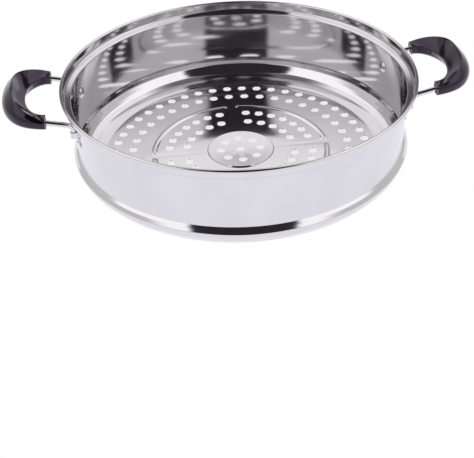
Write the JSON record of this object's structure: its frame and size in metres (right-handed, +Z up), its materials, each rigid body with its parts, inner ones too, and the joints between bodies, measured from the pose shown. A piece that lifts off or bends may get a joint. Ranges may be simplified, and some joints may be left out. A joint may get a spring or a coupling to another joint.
{
  "type": "steamer pot",
  "caption": "Round stainless steel steamer tier with a perforated floor, rolled rim, lid recess, stacking collar and wire side handles in black grips.",
  "frame": {"origin": "centre of the floor's flat underside, on the pot's axis", "axes": "+Z up along the pot's axis, +X out along the line through both handles"},
  "size_m": [0.3822, 0.29, 0.0831],
  "materials": {
    "stainless": "polished",
    "bakelite": "gloss"
  },
  "bodies": {
    "root": {"steamer_body": "stainless", "right_handle_wire": "stainless", "left_handle_wire": "stainless", "right_handle_grip": "bakelite", "left_handle_grip": "bakelite", "right_rear_bracket": "stainless", "right_front_bracket": "stainless", "left_rear_bracket": "stainless", "left_front_bracket": "stainless", "right_rear_rivet": "stainless", "right_front_rivet": "stainless", "left_rear_rivet": "stainless", "left_front_rivet": "stainless"}
  },
  "joints": []
}
